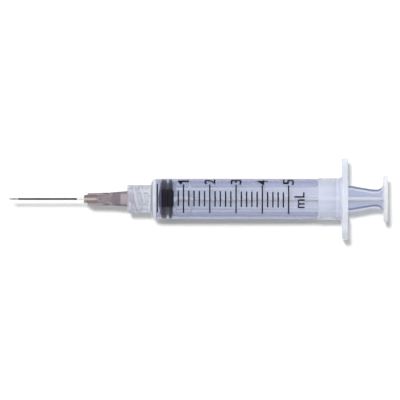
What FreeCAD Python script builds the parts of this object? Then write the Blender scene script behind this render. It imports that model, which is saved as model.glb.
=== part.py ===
import FreeCAD, Part
import math
import os
import re
import Sketcher
from FreeCAD import Placement, Rotation, Vector

# A 5 mL luer lock syringe with its needle fitted, lying on the flats of its finger flange.
#
# Lengths are in millimetres and angles in degrees. The axis of the syringe is along X, with
# the needle's point towards -X and the thumb disc towards +X. Places along the axis are
# measured from the zero line of the scale. The placement that all bodies share brings the
# middle of the whole length to x = 0 and the lower flat of the finger flange to z = 0.

SIZES = {
    # Barrel: tube, shoulder, thicker rear end and finger flange
    "bore_diameter": 12.06,
    "barrel_wall": 0.69,
    "front_length": 2.07,
    "shoulder_radius": 1.7,
    "band_start": 53.5,
    "band_rise": 0.25,
    "flange_front": 61.6,
    "flange_thickness": 1.98,
    "flange_width": 27.3,
    "flange_depth": 16.4,
    "flange_corner": 2.4,
    "flange_fillet": 1.2,
    "flange_edge": 0.4,
    "flange_land": 0.03,
    "bead_start": 54.0,
    "bead_length": 1.0,
    "bead_rise": 0.12,
    "mouth_step": 0.37,
    "mouth_depth": 3.2,
    "mouth_run": 1.1,
    # Lock collar, its double-start thread and the nozzle inside it
    "collar_length": 7.93,
    "collar_diameter": 9.3,
    "collar_rim": 0.3,
    "collar_fillet": 0.4,
    "collar_chamfer": 0.2,
    "recess_place": 3.0,
    "thread_root": 8.0,
    "thread_crest": 7.1,
    "thread_foot": 1.0,
    "thread_top": 0.4,
    "thread_lead": 5.0,
    "thread_starts": 2,
    "thread_inset": 0.55,
    "thread_length": 5.0,
    "nozzle_reach": 12.2,
    "nozzle_diameter": 3.95,
    "nozzle_bore": 2.1,
    "nozzle_round": 0.2,
    "luer_taper": 0.06,
    # Scale printed round the barrel
    "capacity": 5,
    "marks_each": 5,
    "mark_width": 0.4,
    "ink_height": 0.04,
    "long_mark_arc": 90.0,
    "short_mark_arc": 45.0,
    # Stopper
    "reading": 1.44,
    "seal_fit": 0.03,
    "nose_length": 1.14,
    "nose_tip_diameter": 1.6,
    "rib_round": 0.35,
    "front_rib": 1.74,
    "groove_length": 0.62,
    "groove_depth": 0.6,
    "rear_rib": 1.1,
    "rear_lip": 0.3,
    "rear_bevel": 0.55,
    "edge_round": 0.15,
    # Snap joint between stopper and plunger rod
    "head_place": 2.1,
    "head_length": 1.85,
    "head_diameter": 7.4,
    "head_chamfer": 0.5,
    "neck_diameter": 5.8,
    "snap_fit": 0.05,
    # Plunger rod
    "disc_thickness": 0.9,
    "disc_diameter": 11.4,
    "guide_place": 10.5,
    "guide_thickness": 0.7,
    "guide_diameter": 11.6,
    "guide_round": 0.2,
    "web_thickness": 1.1,
    "web_width": 8.9,
    "web_round": 0.5,
    "waist_place": 73.2,
    "waist_width": 6.4,
    "waist_angle": 9.5,
    "waist_radius": 15.0,
    "thumb_place": 75.5,
    "thumb_thickness": 1.45,
    "thumb_diameter": 15.3,
    "thumb_round": 0.4,
    "thumb_flare": 2.3,
    "flare_sink": 0.15,
    "corner_fillet": 0.35,
    # Needle hub
    "hub_place": 6.99,
    "hub_nose": 24.54,
    "hub_diameter": 5.92,
    "hub_neck_place": 16.85,
    "hub_neck_diameter": 4.24,
    "hub_core_diameter": 2.78,
    "hub_core_place": 18.2,
    "hub_core_run": 2.7,
    "hub_round": 0.3,
    "fin_place": 23.45,
    "fin_chamfer": 0.35,
    "fin_diameter": 4.0,
    "fin_width": 0.95,
    "fin_sink": 1.0,
    "luer_fit": 0.02,
    "socket_depth": 7.51,
    "socket_cone": 1.1,
    "socket_chamfer": 0.2,
    # Lugs of the hub, seated in the thread
    "lug_diameter": 7.8,
    "lug_arc": 70.0,
    "lug_thickness": 0.95,
    "lug_fit": 0.04,
    # Cannula and the adhesive that holds it in the hub
    "cannula_diameter": 0.718,
    "cannula_bore": 0.413,
    "cannula_point": 49.94,
    "cannula_tail": 15.2,
    "bevel_angle": 12.0,
    "lancet_angle": 19.0,
    "lancet_turn": 42.0,
    "hole_fit": 0.01,
    "well_diameter": 1.56,
    "well_depth": 4.54,
    "glue_fit": 0.02,
    "glue_cone": 0.45,
}

# Radii and places that several pieces share, as formulas of the sizes
BORE = "(bore_diameter / 2)"
BARREL = "(bore_diameter / 2 + barrel_wall)"
BAND = "(bore_diameter / 2 + barrel_wall + band_rise)"
MOUTH = "(bore_diameter / 2 + mouth_step)"
FLANGE_REAR = "(flange_front + flange_thickness)"
# How far the flats of the flange stand out from the tube, which limits the flange's fillets
LIP = f"(flange_depth / 2 - {BAND})"
FLANGE_ROOT = f"min(flange_fillet; {LIP} - flange_land)"
FLANGE_ROUND = f"min(flange_edge; {LIP} / 3)"
COLLAR_FRONT = "(-front_length - collar_length)"
ML_LENGTH = "(1000 / (pi * (bore_diameter / 2) ^ 2))"
SEAL = "(bore_diameter / 2 - seal_fit)"
STOPPER_REAR = "(reading + front_rib + groove_length + rear_rib + rear_lip)"
DISC_FRONT = f"({STOPPER_REAR} + snap_fit)"
THUMB_REAR = "(thumb_place + thumb_thickness)"
CANNULA = "(cannula_diameter / 2)"
SOCKET_END = "(-hub_place - socket_depth)"
HUB_SLOPE = "((hub_diameter - hub_neck_diameter) / 2 / (hub_neck_place - hub_place))"
# The flank of the thread rises by this much of the radius for each millimetre along X
FLANK_RUN = "((thread_foot - thread_top) / (thread_root - thread_crest))"
# From the middle of a ridge to the flank of the lug behind it, at the lug's full radius
LUG_FLANK = f"(thread_top / 2 + (lug_diameter - thread_crest) / 2 * {FLANK_RUN} + lug_fit)"
# Where the middle of a ridge crosses the +Y side of the collar
RIDGE_PLACE = f"(-hub_place - lug_thickness - {LUG_FLANK})"
RIDGE_BEGIN = f"({COLLAR_FRONT} + thread_inset)"
# How far a swept ridge sinks into what carries it, and runs past the face that trims it
OVERLAP = "0.2"
# Lengths that differ by less than this are taken as the same
SAME = 0.001

doc = FreeCAD.newDocument("luer_lock_syringe")
sheet = doc.addObject("Spreadsheet::Sheet", "Sizes")
for row, (alias, size) in enumerate(SIZES.items(), start=1):
    sheet.set(f"A{row}", alias)
    sheet.set(f"B{row}", str(size))
    sheet.setAlias(f"B{row}", alias)
doc.recompute()

bodies = []


def bound(formula):
    """The formula with each size's name written as a reference to its cell."""
    return re.sub(r"[a-z_]+", lambda word: f"Sizes.{word[0]}" if word[0] in SIZES else word[0], formula)


def value(formula):
    """The number that a formula of the sizes gives now."""
    return float(sheet.evalExpression(bound(formula)))


def new_body(label):
    """A body placed with the others: mid-length at x = 0, and the flange's flat at z = 0."""
    body = doc.addObject("PartDesign::Body", label)
    body.Label = label
    body.setExpression("Placement.Base.x", bound(f"(cannula_point - {THUMB_REAR}) / 2"))
    body.setExpression("Placement.Base.z", bound("flange_depth / 2"))
    bodies.append(body)
    doc.recompute()
    return body


def origin_plane(body, role):
    """One of the body's own planes."""
    return next(part for part in body.Origin.OriginFeatures if part.Role == role)


def arc_between(start, end, radius, side):
    """The shorter arc from start to end that turns to the given side."""
    chord = end - start
    sideways = Vector(-chord.y, chord.x, 0).normalize()
    reach = math.sqrt(max(radius**2 - (chord.Length / 2) ** 2, 0))
    centre = (start + end) / 2 + sideways * (reach if side == "left" else -reach)
    first, last = (start, end) if side == "left" else (end, start)
    angles = [math.atan2(spot.y - centre.y, spot.x - centre.x) for spot in (first, last)]
    return Part.ArcOfCircle(Part.Circle(centre, Vector(0, 0, 1), radius), *angles)


def fix_coordinate(sketch, kind, axis, edge, end, formula):
    """Holds one coordinate of a corner at a formula of the sizes, or on the axis if it is 0."""
    if formula == "0":
        sketch.addConstraint(Sketcher.Constraint("PointOnObject", edge, end, axis))
        return
    number = sketch.addConstraint(Sketcher.Constraint(kind, -1, 1, edge, end, value(formula)))
    sketch.setExpression(f"Constraints[{number}]", bound(formula))


def draw(body, name, corners, plane="XY_Plane", place=None, turn=None):
    """A closed outline whose corners are formulas of the sizes.

    A corner is (x, y) after a straight edge, and (x, y, side, radius) after an arc that
    turns to that side. The sketch lies on a plane of the body, moved along the plane's
    normal to place, or turned about X by turn.
    """
    sketch = body.newObject("Sketcher::SketchObject", name)
    sketch.AttachmentSupport = [(origin_plane(body, plane), "")]
    sketch.MapMode = "FlatFace"
    if place:
        sketch.setExpression("AttachmentOffset.Base.z", bound(place))
    if turn:
        sketch.AttachmentOffset = Placement(Vector(), Rotation(Vector(1, 0, 0), value(turn)))
        sketch.setExpression("AttachmentOffset.Rotation.Angle", bound(turn))
    spots = [Vector(value(corner[0]), value(corner[1]), 0) for corner in corners]
    ends = []
    for number, corner in enumerate(corners):
        start, end = spots[number - 1], spots[number]
        if len(corner) == 2:
            sketch.addGeometry(Part.LineSegment(start, end))
            ends.append((1, 2))
        else:
            side, radius = corner[2:]
            sketch.addGeometry(arc_between(start, end, value(radius), side))
            ends.append((1, 2) if side == "left" else (2, 1))
    for number, corner in enumerate(corners):
        after = (number + 1) % len(corners)
        joint = Sketcher.Constraint("Coincident", number, ends[number][1], after, ends[after][0])
        sketch.addConstraint(joint)
        fix_coordinate(sketch, "DistanceX", -2, number, ends[number][1], corner[0])
        fix_coordinate(sketch, "DistanceY", -1, number, ends[number][1], corner[1])
        if len(corner) == 4:
            size = Sketcher.Constraint("Radius", number, value(corner[3]))
            sketch.setExpression(f"Constraints[{sketch.addConstraint(size)}]", bound(corner[3]))
    doc.recompute()
    return sketch


def add_circle(sketch, diameter):
    """A circle about the axis in a sketch that lies across it."""
    radius = value(diameter) / 2
    edge = sketch.addGeometry(Part.Circle(Vector(), Vector(0, 0, 1), radius))
    sketch.addConstraint(Sketcher.Constraint("Coincident", edge, 3, -1, 1))
    number = sketch.addConstraint(Sketcher.Constraint("Diameter", edge, 2 * radius))
    sketch.setExpression(f"Constraints[{number}]", bound(diameter))
    doc.recompute()


def turned(body, name, corners, plane="XY_Plane", arc=None):
    """Material turned about the axis from a half section, all the way or by an arc."""
    sketch = draw(body, f"{name}_section", corners, plane=plane)
    feature = body.newObject("PartDesign::Revolution", name)
    feature.Profile = sketch
    feature.ReferenceAxis = (sketch, ["H_Axis"])
    if arc:
        feature.Midplane = True
        feature.setExpression("Angle", bound(arc))
    else:
        feature.Angle = 360
    doc.recompute()
    return feature


def recompute_cut(body, feature):
    """Recomputes a new cut and makes sure that it takes material away."""
    before = feature.BaseFeature.Shape.Volume
    doc.recompute()
    if not feature.Shape.Volume < before:
        raise ValueError(f"{feature.Name} cuts nothing")
    return feature


def bored(body, name, corners):
    """Material cut away about the axis to a half section."""
    sketch = draw(body, f"{name}_section", corners)
    feature = body.newObject("PartDesign::Groove", name)
    feature.Profile = sketch
    feature.ReferenceAxis = (sketch, ["H_Axis"])
    feature.Angle = 360
    return recompute_cut(body, feature)


def sliced(body, name, corners, turn=None):
    """Material cut away across the whole piece, along the normal of the sketch's plane."""
    feature = body.newObject("PartDesign::Pocket", name)
    feature.Profile = draw(body, f"{name}_section", corners, plane="XZ_Plane", turn=turn)
    feature.Type = "ThroughAll"
    feature.Midplane = True
    return recompute_cut(body, feature)


def padded(body, name, sketch, length, middle=False):
    """A pad of a sketch along its normal, or half to each side of its plane."""
    feature = body.newObject("PartDesign::Pad", name)
    feature.Profile = sketch
    feature.Midplane = middle
    feature.setExpression("Length", bound(length))
    doc.recompute()
    return feature


def helical(body, name, corners, turn, rise):
    """A ridge of the thread's lead, swept towards +X from a section turned about the axis."""
    sketch = draw(body, f"{name}_section", corners, turn=turn)
    feature = body.newObject("PartDesign::AdditiveHelix", name)
    feature.Profile = sketch
    feature.ReferenceAxis = (sketch, ["H_Axis"])
    feature.Mode = "pitch-height-angle"
    feature.setExpression("Pitch", bound("thread_lead"))
    feature.setExpression("Height", bound(rise))
    doc.recompute()
    return feature


def round_about(body, name, features, count, angle=360):
    """Copies of the features spaced evenly about the axis."""
    pattern = body.newObject("PartDesign::PolarPattern", name)
    pattern.Originals = features
    pattern.Axis = (origin_plane(body, "X_Axis"), [""])
    pattern.Angle = angle
    pattern.setExpression("Occurrences", bound(count))
    body.Tip = pattern
    doc.recompute()
    return pattern


def along(body, name, feature, count, length):
    """Copies of a feature spaced evenly along the axis."""
    pattern = body.newObject("PartDesign::LinearPattern", name)
    pattern.Originals = [feature]
    pattern.Direction = (origin_plane(body, "X_Axis"), [""])
    pattern.setExpression("Length", bound(length))
    pattern.setExpression("Occurrences", bound(count))
    body.Tip = pattern
    doc.recompute()
    return pattern


def rounded(body, name, base, chosen, radius):
    """A fillet on the edges of the base feature that the test chooses."""
    edges = [f"Edge{number}" for number, edge in enumerate(base.Shape.Edges, start=1) if chosen(edge)]
    if not edges:
        raise ValueError(f"{name} finds no edge")
    feature = body.newObject("PartDesign::Fillet", name)
    feature.Base = (base, edges)
    feature.setExpression("Radius", bound(radius))
    doc.recompute()
    return feature


def middle_of(edge):
    """The point halfway along an edge."""
    return edge.valueAt((edge.FirstParameter + edge.LastParameter) / 2)


def from_axis(point):
    """The distance of a point from the axis of the syringe."""
    return math.hypot(point.y, point.z)


def near(first, second):
    """Whether two lengths are the same."""
    return abs(first - second) < SAME


def make_barrel():
    """The barrel, moulded in one with its nozzle, lock collar and finger flange."""
    body = new_body("barrel")
    nozzle_start = "(-nozzle_reach + nozzle_round)"
    nozzle_root = "(nozzle_diameter / 2 + (nozzle_reach - nozzle_round - recess_place) * luer_taper / 2)"
    floor_round = "(rib_round + seal_fit)"
    turned(body, "barrel_wall", [
        ("-nozzle_reach", "nozzle_bore / 2"),
        ("-nozzle_reach", "nozzle_diameter / 2 - nozzle_round"),
        (nozzle_start, "nozzle_diameter / 2", "right", "nozzle_round"),
        ("-recess_place", nozzle_root),
        ("-recess_place", "thread_root / 2"),
        (f"{COLLAR_FRONT} + collar_chamfer", "thread_root / 2"),
        (COLLAR_FRONT, "thread_root / 2 + collar_chamfer"),
        (COLLAR_FRONT, "collar_diameter / 2 - collar_rim"),
        (f"{COLLAR_FRONT} + collar_rim", "collar_diameter / 2", "right", "collar_rim"),
        ("-front_length - collar_fillet", "collar_diameter / 2"),
        ("-front_length", "collar_diameter / 2 + collar_fillet", "left", "collar_fillet"),
        ("-front_length", f"{BARREL} - shoulder_radius"),
        ("-front_length + shoulder_radius", BARREL, "right", "shoulder_radius"),
        ("band_start", BARREL),
        ("band_start + band_rise", BAND),
        (FLANGE_REAR, BAND),
        (FLANGE_REAR, MOUTH),
        (f"{FLANGE_REAR} - mouth_depth", MOUTH),
        (f"{FLANGE_REAR} - mouth_depth - mouth_run", BORE),
        ("bead_start + bead_length", BORE),
        ("bead_start", BORE, "left", "(bead_length ^ 2 / 4 + bead_rise ^ 2) / (2 * bead_rise)"),
        ("0", BORE),
        (f"-{floor_round}", f"{BORE} - {floor_round}", "left", floor_round),
        ("-nose_length", "nozzle_bore / 2"),
    ])
    half_flat = "sqrt((flange_width / 2) ^ 2 - (flange_depth / 2) ^ 2)"
    outline = draw(body, "flange_outline", [
        (f"-{half_flat}", "-flange_depth / 2", "left", "flange_width / 2"),
        (half_flat, "-flange_depth / 2"),
        (half_flat, "flange_depth / 2", "left", "flange_width / 2"),
        (f"-{half_flat}", "flange_depth / 2"),
    ], plane="YZ_Plane", place="flange_front")
    add_circle(outline, f"2 * {MOUTH}")
    flange = padded(body, "finger_flange", outline, "flange_thickness")
    front = value("flange_front")
    rear = value(FLANGE_REAR)
    beyond = value(BAND) + value(FLANGE_ROOT) + SAME
    corners = rounded(
        body, "flange_corners", flange,
        lambda edge: near(abs(edge.tangentAt(edge.FirstParameter).x), 1)
        and from_axis(middle_of(edge)) > beyond,
        "flange_corner",
    )
    root = rounded(
        body, "flange_root", corners,
        lambda edge: near(middle_of(edge).x, front) and near(from_axis(middle_of(edge)), value(BAND)),
        FLANGE_ROOT,
    )
    rounded(
        body, "flange_edges", root,
        lambda edge: (near(edge.BoundBox.XMin, front) or near(edge.BoundBox.XMin, rear))
        and edge.BoundBox.XLength < SAME
        and from_axis(middle_of(edge)) > beyond,
        FLANGE_ROUND,
    )
    foot = "(thread_foot / 2)"
    ridge = helical(body, "thread_ridge", [
        (f"{RIDGE_BEGIN} - {foot}", f"thread_root / 2 + {OVERLAP}"),
        (f"{RIDGE_BEGIN} - {foot}", "thread_root / 2"),
        (f"{RIDGE_BEGIN} - thread_top / 2", "thread_crest / 2"),
        (f"{RIDGE_BEGIN} + thread_top / 2", "thread_crest / 2"),
        (f"{RIDGE_BEGIN} + {foot}", "thread_root / 2"),
        (f"{RIDGE_BEGIN} + {foot}", f"thread_root / 2 + {OVERLAP}"),
    ], f"360 * ({RIDGE_BEGIN} - {RIDGE_PLACE}) / thread_lead", "thread_length")
    round_about(body, "thread", [ridge], "thread_starts")


def make_scale():
    """The printed lines of the scale: a long one at each millilitre, four short ones between."""
    body = new_body("scale_print")
    body.AllowCompound = True
    section = [
        ("-mark_width / 2", BARREL),
        ("-mark_width / 2", f"{BARREL} + ink_height"),
        ("mark_width / 2", f"{BARREL} + ink_height"),
        ("mark_width / 2", BARREL),
    ]
    length = f"capacity * {ML_LENGTH}"
    short = turned(body, "short_mark", section, plane="XZ_Plane", arc="short_mark_arc")
    along(body, "short_marks", short, "capacity * marks_each + 1", length)
    long = turned(body, "long_mark", section, plane="XZ_Plane", arc="long_mark_arc")
    along(body, "long_marks", long, "capacity + 1", length)


def make_stopper():
    """The rubber stopper: coned nose, two sealing ribs and the socket that grips the rod."""
    body = new_body("stopper")
    groove_start = "reading + front_rib"
    groove_end = "reading + front_rib + groove_length"
    rib_end = "reading + front_rib + groove_length + rear_rib"
    turned(body, "stopper_form", [
        ("reading - nose_length", "0"),
        ("reading - nose_length", "nose_tip_diameter / 2"),
        ("reading - rib_round", f"{SEAL} - rib_round"),
        ("reading", SEAL, "right", "rib_round"),
        (f"{groove_start} - edge_round", SEAL),
        (groove_start, f"{SEAL} - edge_round", "right", "edge_round"),
        (groove_start, f"{SEAL} - groove_depth"),
        (groove_end, f"{SEAL} - groove_depth"),
        (groove_end, f"{SEAL} - edge_round"),
        (f"{groove_end} + edge_round", SEAL, "right", "edge_round"),
        (rib_end, SEAL),
        (STOPPER_REAR, f"{SEAL} - rear_bevel"),
        (STOPPER_REAR, "0"),
    ])
    bored(body, "snap_socket", [
        ("head_place - snap_fit", "0"),
        ("head_place - snap_fit", "head_diameter / 2 + snap_fit - head_chamfer"),
        ("head_place - snap_fit + head_chamfer", "head_diameter / 2 + snap_fit"),
        ("head_place + head_length + snap_fit", "head_diameter / 2 + snap_fit"),
        ("head_place + head_length + snap_fit", "neck_diameter / 2 + snap_fit"),
        (STOPPER_REAR, "neck_diameter / 2 + snap_fit"),
        (STOPPER_REAR, "0"),
    ])


def make_plunger_rod():
    """The plunger rod: snap head, two discs, crossed webs and the thumb disc."""
    body = new_body("plunger_rod")
    web_start = f"({DISC_FRONT} + disc_thickness / 2)"
    web_end = "(thumb_place + thumb_thickness / 2)"
    taper_foot = "(waist_place - waist_radius * sin(waist_angle))"
    taper_half = "(waist_width / 2 + waist_radius * (1 - cos(waist_angle)))"
    taper_start = f"({taper_foot} - (web_width / 2 - {taper_half}) / tan(waist_angle))"
    flare_start = "(thumb_place + flare_sink - thumb_flare)"
    flare_half = "(waist_width / 2 + thumb_flare)"
    outline = draw(body, "web_outline", [
        (web_start, "-web_width / 2"),
        (taper_start, "-web_width / 2"),
        (taper_foot, f"-{taper_half}"),
        ("waist_place", "-waist_width / 2", "right", "waist_radius"),
        (flare_start, "-waist_width / 2"),
        ("thumb_place + flare_sink", f"-{flare_half}", "right", "thumb_flare"),
        (web_end, f"-{flare_half}"),
        (web_end, flare_half),
        ("thumb_place + flare_sink", flare_half),
        (flare_start, "waist_width / 2", "right", "thumb_flare"),
        ("waist_place", "waist_width / 2"),
        (taper_foot, taper_half, "right", "waist_radius"),
        (taper_start, "web_width / 2"),
        (web_start, "web_width / 2"),
    ])
    web = padded(body, "web", outline, "web_thickness", middle=True)
    half_thick = value("web_thickness / 2")
    web_edges = rounded(
        body, "web_edges", web,
        lambda edge: near(abs(middle_of(edge).z), half_thick) and edge.BoundBox.XLength > SAME,
        "web_round",
    )
    round_about(body, "crossed_webs", [web, web_edges], "2", angle=90)
    turned(body, "snap_head", [
        ("head_place", "0"),
        ("head_place", "head_diameter / 2 - head_chamfer"),
        ("head_place + head_chamfer", "head_diameter / 2"),
        ("head_place + head_length", "head_diameter / 2"),
        ("head_place + head_length", "neck_diameter / 2"),
        (DISC_FRONT, "neck_diameter / 2"),
        (DISC_FRONT, "disc_diameter / 2"),
        (f"{DISC_FRONT} + disc_thickness", "disc_diameter / 2"),
        (f"{DISC_FRONT} + disc_thickness", "0"),
    ])
    turned(body, "guide_disc", [
        ("guide_place", "0"),
        ("guide_place", "guide_diameter / 2 - guide_round"),
        ("guide_place + guide_round", "guide_diameter / 2", "right", "guide_round"),
        ("guide_place + guide_thickness - guide_round", "guide_diameter / 2"),
        ("guide_place + guide_thickness", "guide_diameter / 2 - guide_round", "right", "guide_round"),
        ("guide_place + guide_thickness", "0"),
    ])
    disc = turned(body, "thumb_disc", [
        ("thumb_place", "0"),
        ("thumb_place", "thumb_diameter / 2 - thumb_round"),
        ("thumb_place + thumb_round", "thumb_diameter / 2", "right", "thumb_round"),
        (f"{THUMB_REAR} - thumb_round", "thumb_diameter / 2"),
        (THUMB_REAR, "thumb_diameter / 2 - thumb_round", "right", "thumb_round"),
        (THUMB_REAR, "0"),
    ])
    rounded(
        body, "web_corners", disc,
        lambda edge: near(abs(middle_of(edge).z), half_thick)
        and near(abs(middle_of(edge).y), half_thick)
        and edge.BoundBox.XLength > 2 * half_thick,
        "corner_fillet",
    )


def make_needle_hub():
    """The needle's hub: finned nose, luer socket and the two lugs that sit in the thread."""
    body = new_body("needle_hub")
    core = "(hub_core_diameter / 2)"
    core_end = "(-hub_core_place + hub_core_run)"
    turned(body, "hub_form", [
        ("-hub_nose", "0"),
        ("-hub_nose", f"{core} - hub_round"),
        ("-hub_nose + hub_round", core, "right", "hub_round"),
        ("-hub_core_place", core),
        (core_end, f"hub_neck_diameter / 2 + (hub_neck_place + {core_end}) * {HUB_SLOPE}"),
        ("-hub_place", "hub_diameter / 2"),
        ("-hub_place", "0"),
    ])
    half_fin = "(fin_diameter / 2)"
    half_neck = "(hub_neck_diameter / 2)"
    outline = draw(body, "fin_outline", [
        ("-fin_place", f"-{core}"),
        ("-fin_place + fin_chamfer", f"-{half_fin}"),
        ("-hub_neck_place", f"-{half_neck}"),
        ("-hub_neck_place + fin_sink", f"-{half_neck}"),
        ("-hub_neck_place + fin_sink", half_neck),
        ("-hub_neck_place", half_neck),
        ("-fin_place + fin_chamfer", half_fin),
        ("-fin_place", core),
    ])
    fins = padded(body, "fins", outline, "fin_width", middle=True)
    round_about(body, "crossed_fins", [fins], "2", angle=90)
    lug_front = "(-hub_place - lug_thickness - thread_lead * lug_arc / 720)"
    lug_foot = f"(hub_diameter / 2 - {OVERLAP})"
    lug = helical(body, "lug", [
        (f"{lug_front} - (lug_diameter / 2 - {lug_foot}) * {FLANK_RUN}", lug_foot),
        (lug_front, "lug_diameter / 2"),
        (f"-hub_place + {OVERLAP}", "lug_diameter / 2"),
        (f"-hub_place + {OVERLAP}", lug_foot),
    ], "-lug_arc / 2", "thread_lead * lug_arc / 360")
    round_about(body, "lugs", [lug], "thread_starts")
    mouth = "(nozzle_diameter / 2 + (nozzle_reach - nozzle_round - hub_place) * luer_taper / 2 + luer_fit)"
    end = f"({mouth} - socket_depth * luer_taper / 2)"
    hole = f"({CANNULA} + hole_fit)"
    bored(body, "luer_socket", [
        ("-hub_place + thread_lead", "0"),
        ("-hub_place + thread_lead", "lug_diameter"),
        ("-hub_place", "lug_diameter"),
        ("-hub_place", f"{mouth} + socket_chamfer"),
        ("-hub_place - socket_chamfer", f"{mouth} - socket_chamfer * luer_taper / 2"),
        (SOCKET_END, end),
        (f"{SOCKET_END} - socket_cone", hole),
        (f"{SOCKET_END} - socket_cone", "0"),
    ])
    bored(body, "needle_hole", [
        ("-hub_nose", "0"),
        ("-hub_nose", "well_diameter / 2"),
        ("-hub_nose + well_depth", "well_diameter / 2"),
        ("-hub_nose + well_depth", hole),
        (f"{SOCKET_END} - socket_cone / 2", hole),
        (f"{SOCKET_END} - socket_cone / 2", "0"),
    ])


def make_cannula():
    """The steel cannula: a tube with its long bevel and the two lancet grinds at the point."""
    body = new_body("cannula")
    circle = body.newObject("Sketcher::SketchObject", "tube_section")
    circle.AttachmentSupport = [(origin_plane(body, "YZ_Plane"), "")]
    circle.MapMode = "FlatFace"
    circle.setExpression("AttachmentOffset.Base.z", bound("-cannula_point"))
    add_circle(circle, "cannula_diameter")
    add_circle(circle, "cannula_bore")
    padded(body, "tube", circle, "cannula_point - cannula_tail")
    clear = "(cannula_diameter)"
    bevel_length = "(cannula_diameter / tan(bevel_angle))"
    sliced(body, "bevel", [
        ("-cannula_point", f"-{CANNULA}"),
        (f"-cannula_point + {bevel_length}", CANNULA),
        (f"-cannula_point + {bevel_length}", clear),
        (f"-cannula_point - {clear}", clear),
        (f"-cannula_point - {clear}", f"-{CANNULA}"),
    ])
    point_height = f"(-{CANNULA} * cos(lancet_turn))"
    rise = f"({clear} - {point_height})"
    lancet = sliced(body, "lancet", [
        ("-cannula_point", point_height),
        (f"-cannula_point + {rise} / tan(lancet_angle)", clear),
        (f"-cannula_point - {clear}", clear),
        (f"-cannula_point - {clear}", point_height),
    ], turn="lancet_turn")
    mirror = body.newObject("PartDesign::Mirrored", "lancets")
    mirror.Originals = [lancet]
    mirror.MirrorPlane = (origin_plane(body, "XZ_Plane"), [""])
    body.Tip = mirror
    doc.recompute()


def make_adhesive():
    """The ring of adhesive in the well of the hub, with its small cone round the cannula."""
    body = new_body("cannula_adhesive")
    inside = f"({CANNULA} + glue_fit)"
    outside = "(well_diameter / 2 - glue_fit)"
    turned(body, "adhesive_ring", [
        ("-hub_nose - glue_cone", inside),
        ("-hub_nose", outside),
        ("-hub_nose + well_depth - glue_fit", outside),
        ("-hub_nose + well_depth - glue_fit", inside),
    ])


make_barrel()
make_scale()
make_stopper()
make_plunger_rod()
make_needle_hub()
make_cannula()
make_adhesive()

for part in doc.Objects:
    if {"Invalid", "Error"} & set(part.State):
        raise ValueError(f"{part.Name} has failed: {part.State}")
for body in bodies:
    if body.Shape.isNull() or not body.Shape.isValid():
        raise ValueError(f"{body.Label} has no valid shape")

os.makedirs("parts", exist_ok=True)
for body in bodies:
    body.Shape.exportStep(f"parts/{body.Label}.step")
    print(f"{body.Label}: {len(body.Shape.Solids)} solids, {body.Shape.Volume:.2f} mm3")
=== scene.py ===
import math

import bpy
from bpy.props import FloatProperty, FloatVectorProperty, PointerProperty
from mathutils import Matrix, Vector


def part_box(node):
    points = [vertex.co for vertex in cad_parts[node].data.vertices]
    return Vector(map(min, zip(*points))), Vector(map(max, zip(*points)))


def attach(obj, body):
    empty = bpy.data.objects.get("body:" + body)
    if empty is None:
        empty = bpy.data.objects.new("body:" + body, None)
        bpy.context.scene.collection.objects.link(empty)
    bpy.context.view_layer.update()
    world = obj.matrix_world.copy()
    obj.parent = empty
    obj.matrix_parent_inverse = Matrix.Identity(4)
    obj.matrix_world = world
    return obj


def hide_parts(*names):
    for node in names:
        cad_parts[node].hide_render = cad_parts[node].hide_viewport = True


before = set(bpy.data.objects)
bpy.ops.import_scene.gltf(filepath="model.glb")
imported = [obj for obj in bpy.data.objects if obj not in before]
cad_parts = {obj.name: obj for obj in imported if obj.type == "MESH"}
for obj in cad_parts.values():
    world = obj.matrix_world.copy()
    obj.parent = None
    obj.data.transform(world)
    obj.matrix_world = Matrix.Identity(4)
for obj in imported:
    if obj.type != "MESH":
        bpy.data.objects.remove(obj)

bl_info = {
    "name": "Luer lock syringe",
    "version": (1, 0, 0),
    "blender": (4, 5, 0),
    "location": "3D View > Sidebar > Syringe",
    "description": "Finishes a packed 5 mL luer lock syringe: plastics, rubber, steel, print and stage",
    "category": "Object",
}

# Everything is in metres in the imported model's frame: the axis of the syringe is along X, the
# needle's point towards -X, and the flat of the finger flange on z = 0.
MM = 0.001
SCALE_LOW, SCALE_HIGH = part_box("scale_print")
CANNULA_LOW, CANNULA_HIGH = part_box("cannula")
BARREL_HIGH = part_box("barrel")[1]
STOPPER_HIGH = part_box("stopper")[1]
ROD_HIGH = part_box("plunger_rod")[1]
HUB_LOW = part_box("needle_hub")[0]
GLUE_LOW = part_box("cannula_adhesive")[0]
AXIS_HEIGHT = BARREL_HIGH.z / 2
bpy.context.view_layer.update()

# The scale: millilitres, width of a line, place of the zero line, and from number to number
CAPACITY = 5
MARK_WIDTH = 0.4 * MM
ZERO_LINE = SCALE_LOW.x + MARK_WIDTH / 2
NUMBER_STEP = (SCALE_HIGH.x - MARK_WIDTH / 2 - ZERO_LINE) / CAPACITY
TUBE_RADIUS = SCALE_HIGH.z - AXIS_HEIGHT
# Where each number of the scale starts and ends round the barrel, in degrees from its top
NUMBER_SPANS = ((47, 67), (46, 75), (45, 75), (43, 68), (43, 75))

# Places along the needle: the heel of its bevel, the ends of the hub's fins and of its nose
BEVEL_HEEL = CANNULA_LOW.x + 3.4 * MM
FINS_END = HUB_LOW.x + 5.6 * MM
SOCKET_START = FINS_END + 3.5 * MM

# Places along the barrel: its nozzle, lock collar, shoulder with a painted highlight ring behind
# it, full width, thicker rear end with a painted highlight ring at its mouth, and finger flange
NOZZLE_TIP = ZERO_LINE - 12.2 * MM
COLLAR_FRONT = ZERO_LINE - 10.0 * MM
SHOULDER = ZERO_LINE - 2.07 * MM
SHOULDER_HIGHLIGHT = (ZERO_LINE - 1.5 * MM, ZERO_LINE - 0.5 * MM)
TUBE_START = ZERO_LINE + 0.3 * MM
BAND_START = ZERO_LINE + 53.5 * MM
MOUTH_HIGHLIGHT = (BAND_START + 6.2 * MM, BAND_START + 7.1 * MM)
FLANGE_START = BARREL_HIGH.x - 1.98 * MM
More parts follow.
